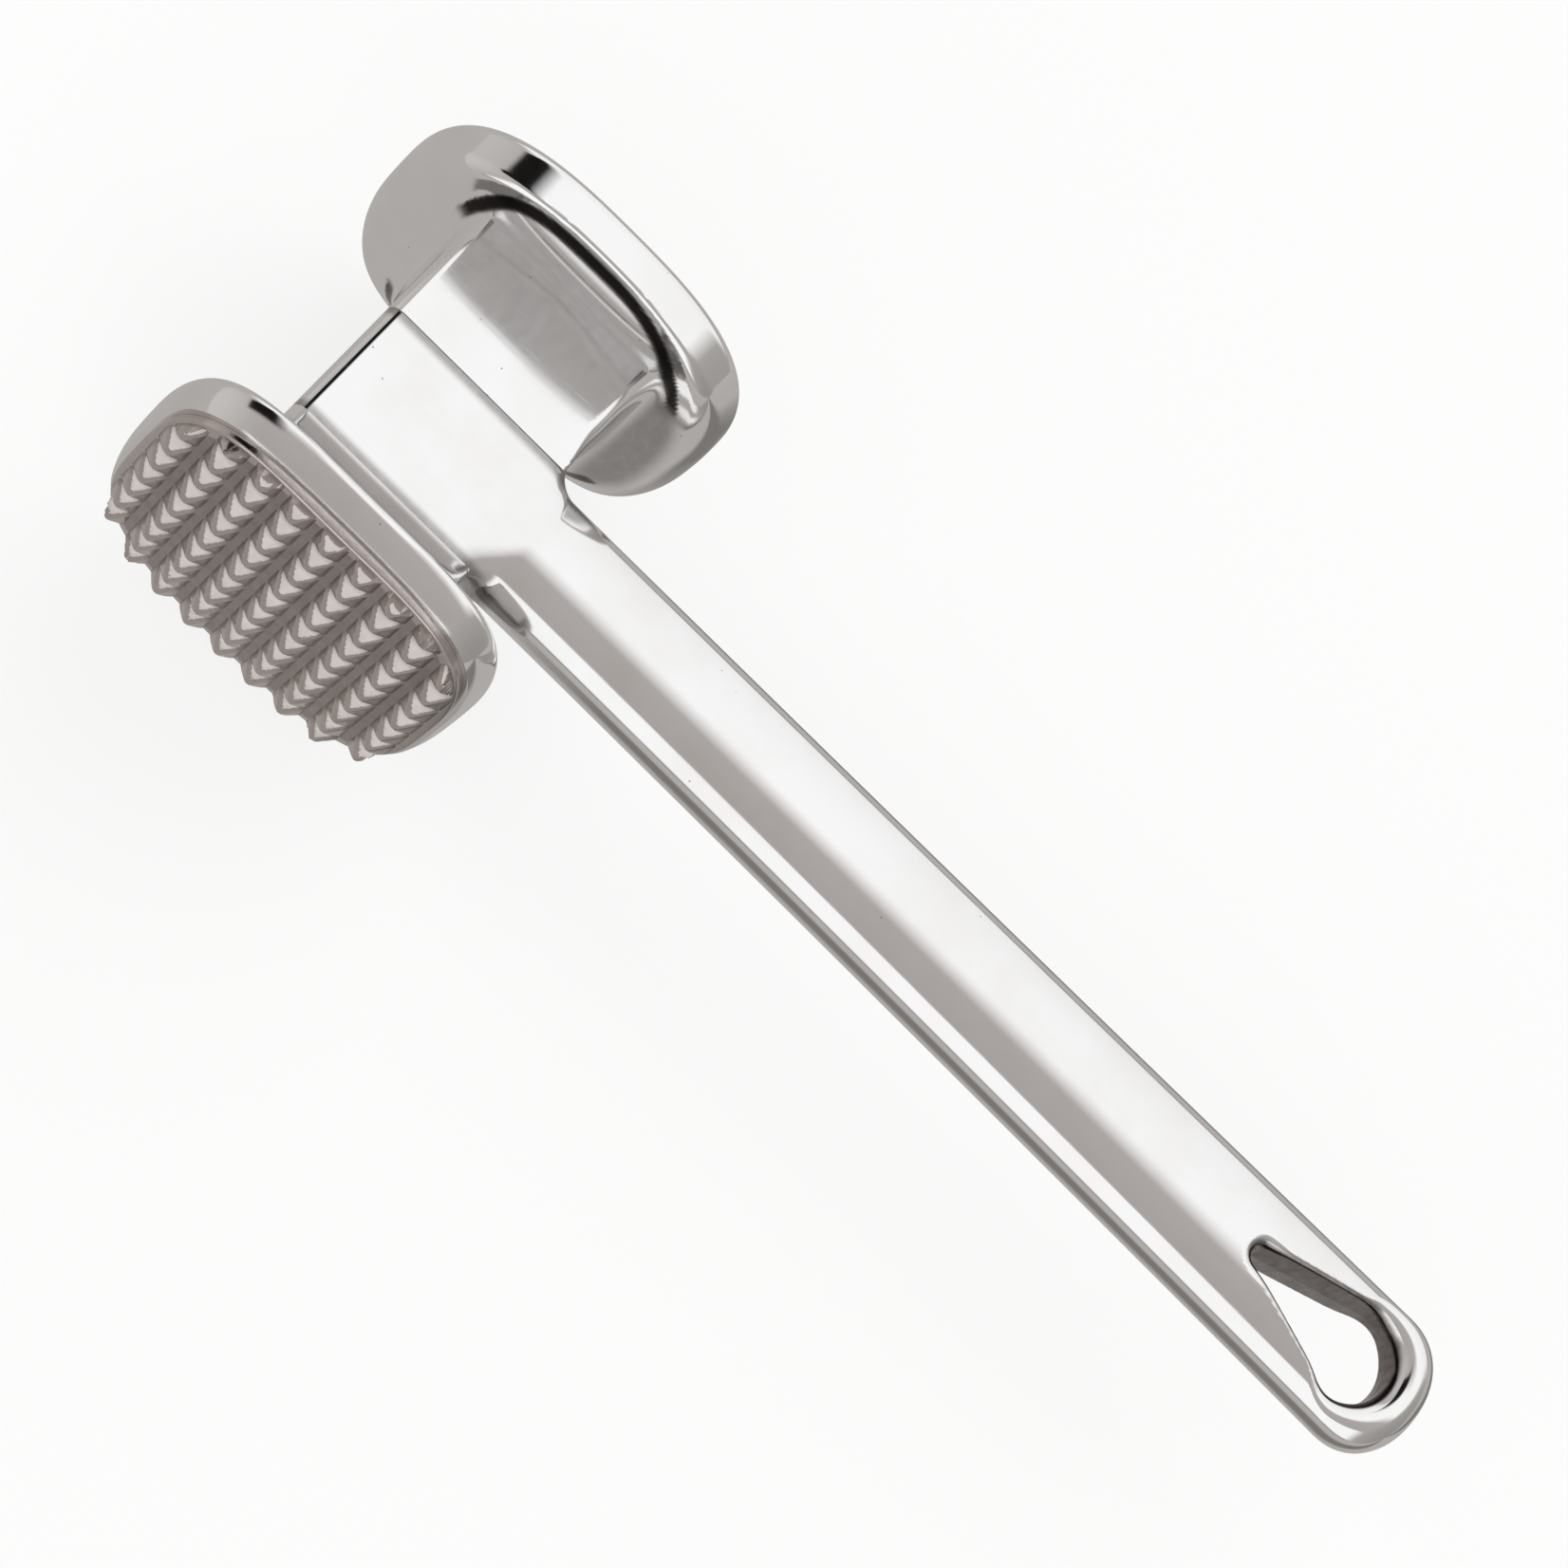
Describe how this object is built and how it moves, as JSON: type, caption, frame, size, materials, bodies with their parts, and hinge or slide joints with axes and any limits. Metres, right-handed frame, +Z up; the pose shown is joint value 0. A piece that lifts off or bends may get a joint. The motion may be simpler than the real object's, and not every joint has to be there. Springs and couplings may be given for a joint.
{
  "type": "meat mallet",
  "caption": "Polished metal meat mallet with a plain pounding face, a toothed tenderizing face and a flat bar handle with a teardrop hang hole.",
  "frame": {"origin": "bottom centre of the mallet's bounding box as it lies on its broad side: the plane z = 0 touches the lowest points of the two flanges", "axes": "+X along the handle from the head to the hang hole, +Y along the head's axis towards the plain pounding face, +Z up, square to the handle's broad faces"},
  "size_m": [0.2504, 0.0746, 0.0628],
  "materials": {
    "polished_casting": "mirror polished casting",
    "toothed_casting": "bright cast teeth, tumbled and buffed",
    "machined_steel": "machined"
  },
  "bodies": {
    "root": {"handle": "polished_casting", "pounding_head": "polished_casting", "tenderizer_head": "polished_casting", "tenderizer_plate": "toothed_casting", "head_bolt": "machined_steel", "lock_washer": "machined_steel", "locating_dowel_1": "machined_steel", "locating_dowel_2": "machined_steel"}
  },
  "joints": []
}
